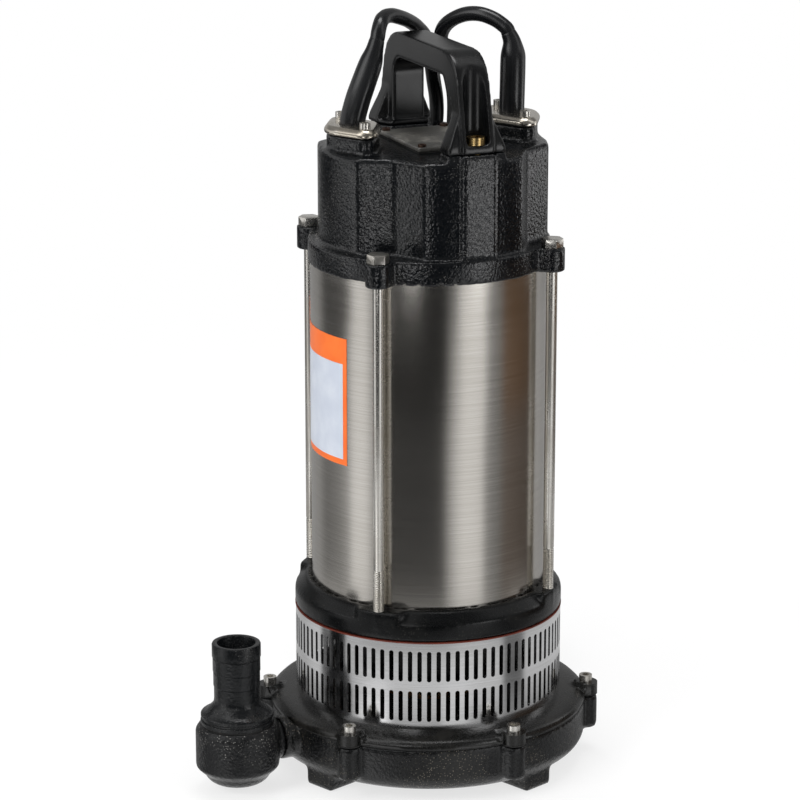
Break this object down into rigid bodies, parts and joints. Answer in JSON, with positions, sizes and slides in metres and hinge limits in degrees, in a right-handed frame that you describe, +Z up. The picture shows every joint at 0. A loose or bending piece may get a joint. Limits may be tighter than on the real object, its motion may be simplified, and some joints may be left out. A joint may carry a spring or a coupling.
{
  "type": "submersible sump pump",
  "caption": "Upright submersible pump: brushed steel motor shell between black castings, slotted strainer, volute on feet, side hose tail, lifting handle and two leads.",
  "frame": {"origin": "on the pump axis, at the level the feet stand on", "axes": "+Z up along the pump axis, -Y towards the front, +X to the right as seen from the front"},
  "size_m": [0.276, 0.3945, 0.5185],
  "materials": {
    "cast_cover": "black paint over a stippled casting",
    "cast_housing": "black paint, slightly glossy",
    "cast_casing": "dark satin paint over a sandy casting",
    "cast_casing_cover": "dark satin paint, machined rim",
    "cast_outlet": "dark paint over a rough casting",
    "tail_iron": "dark satin paint, machined lands",
    "shell_steel": "brushed stainless steel",
    "strainer_steel": "polished stainless sheet",
    "gland_steel": "brushed stainless steel",
    "fastener_steel": "plain stainless steel",
    "screw_copper": "passivated screws with a copper tint",
    "bolt_brass": "yellow passivated",
    "handle_plastic": "black moulded plastic",
    "red_gasket": "orange red sheet gasket",
    "black_gasket": "black sheet gasket",
    "lead_rubber": "black rubber jacket",
    "core_copper": "tinned copper ferrules",
    "bronze": "cast bronze",
    "shaft_steel": "turned steel",
    "race_steel": "ground bearing steel",
    "core_sheet": "stacked electrical sheet",
    "ring_aluminium": "cast aluminium",
    "winding_copper": "varnished copper winding",
    "seal_ceramic": "ground ceramic",
    "seal_carbon": "pressed carbon",
    "seal_rubber": "black rubber",
    "can_plastic": "dark plastic can",
    "terminal_plastic": "ivory plastic"
  },
  "bodies": {
    "pump": {"volute_casing": "cast_casing", "casing_gasket": "black_gasket", "casing_cover": "cast_casing_cover", "casing_screws": "fastener_steel", "pillar_screws": "fastener_steel", "wear_ring": "bronze", "strainer": "strainer_steel", "strainer_gasket": "red_gasket", "lower_housing": "cast_housing", "seal_plate": "cast_casing_cover", "oil_plug": "bolt_brass", "seal_seat": "seal_ceramic", "lip_seal": "seal_rubber", "lower_outer_race": "race_steel", "upper_outer_race": "race_steel", "wave_washer": "shaft_steel", "stator_core": "core_sheet", "stator_windings": "winding_copper", "motor_shell": "shell_steel", "shell_seals": "seal_rubber", "top_cover": "cast_cover", "tie_bolts": "fastener_steel", "access_gasket": "black_gasket", "access_plate": "cast_cover", "access_screws": "screw_copper", "capacitor": "can_plastic", "terminal_block": "terminal_plastic", "handle": "handle_plastic", "handle_bolts": "bolt_brass", "left_gland_plate": "gland_steel", "right_gland_plate": "gland_steel", "gland_screws": "fastener_steel", "left_gland_bush": "seal_rubber", "right_gland_bush": "seal_rubber", "left_sleeve": "lead_rubber", "right_sleeve": "lead_rubber", "left_lead": "lead_rubber", "right_lead": "lead_rubber", "left_lead_coil": "lead_rubber", "right_lead_coil": "lead_rubber", "left_lead_end": "core_copper", "right_lead_end": "core_copper", "outlet_elbow": "cast_outlet"},
    "rotor": {"shaft": "shaft_steel", "rotor_core": "core_sheet", "rotor_end_rings": "ring_aluminium", "impeller": "bronze", "impeller_key": "shaft_steel", "impeller_nut": "fastener_steel", "seal_ring": "seal_carbon", "seal_bellows": "seal_rubber", "lower_inner_race": "race_steel", "upper_inner_race": "race_steel"},
    "lower_balls": {"lower_ball_cage": "race_steel"},
    "upper_balls": {"upper_ball_cage": "race_steel"},
    "lifting_gasket": {"tail_gasket": "black_gasket"},
    "tail": {"hose_tail": "tail_iron"}
  },
  "joints": [
    {"name": "rotor_spin", "type": "hinge", "parent": "pump", "child": "rotor", "pos_m": [0, 0, 0], "axis": [0, 0, 1], "continuous": true},
    {"name": "lower_balls_spin", "type": "hinge", "parent": "pump", "child": "lower_balls", "pos_m": [0, 0, 0], "axis": [0, 0, 1], "continuous": true},
    {"name": "upper_balls_spin", "type": "hinge", "parent": "pump", "child": "upper_balls", "pos_m": [0, 0, 0], "axis": [0, 0, 1], "continuous": true},
    {"name": "tail_lift", "type": "slide", "parent": "pump", "child": "lifting_gasket", "axis": [0, 0, 1], "range_m": [0, 0.0116]},
    {"name": "tail_turn", "type": "hinge", "parent": "lifting_gasket", "child": "tail", "pos_m": [-0.12938, -0.0735, 0], "axis": [0, 0, 1], "range_deg": [0, 1800]}
  ],
  "couplings": [
    {"joint": "lower_balls_spin", "follows": "rotor_spin", "ratio": 0.3694},
    {"joint": "upper_balls_spin", "follows": "rotor_spin", "ratio": 0.397},
    {"joint": "tail_lift", "follows": "tail_turn", "m_per_rad": 0.000366}
  ]
}
